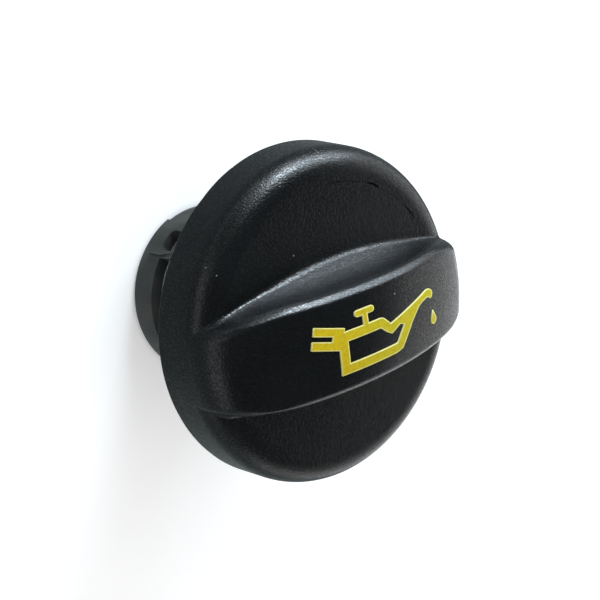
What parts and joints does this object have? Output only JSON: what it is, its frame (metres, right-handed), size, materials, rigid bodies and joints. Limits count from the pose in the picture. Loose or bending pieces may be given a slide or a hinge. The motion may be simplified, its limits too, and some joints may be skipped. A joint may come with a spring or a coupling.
{
  "type": "oil filler cap",
  "caption": "Black moulded plastic oil filler cap with a raised grip bar, an inlaid yellow oil can sign, and a hollow twist-lock plug with a rubber sealing ring",
  "frame": {"origin": "centre of the plug's open end, which the cap stands on", "axes": "+Z is the cap's axis, from the plug's open end to the grip; +X runs along the grip bar towards the spout of the sign; +Y is across the bar, towards the top of the sign"},
  "size_m": [0.06, 0.06, 0.0496],
  "materials": {
    "head_plastic": "fine spark grain, satin on the bar",
    "plug_plastic": "fine spark grain, a little lighter than the head",
    "seal_rubber": "matte moulded rubber",
    "sign_yellow": "flat yellow fill with thin pale rims"
  },
  "bodies": {
    "root": {"grip_head": "head_plastic", "bayonet_plug": "plug_plastic", "sealing_ring": "seal_rubber", "oil_can_sign": "sign_yellow", "oil_drop_sign": "sign_yellow"}
  },
  "joints": []
}
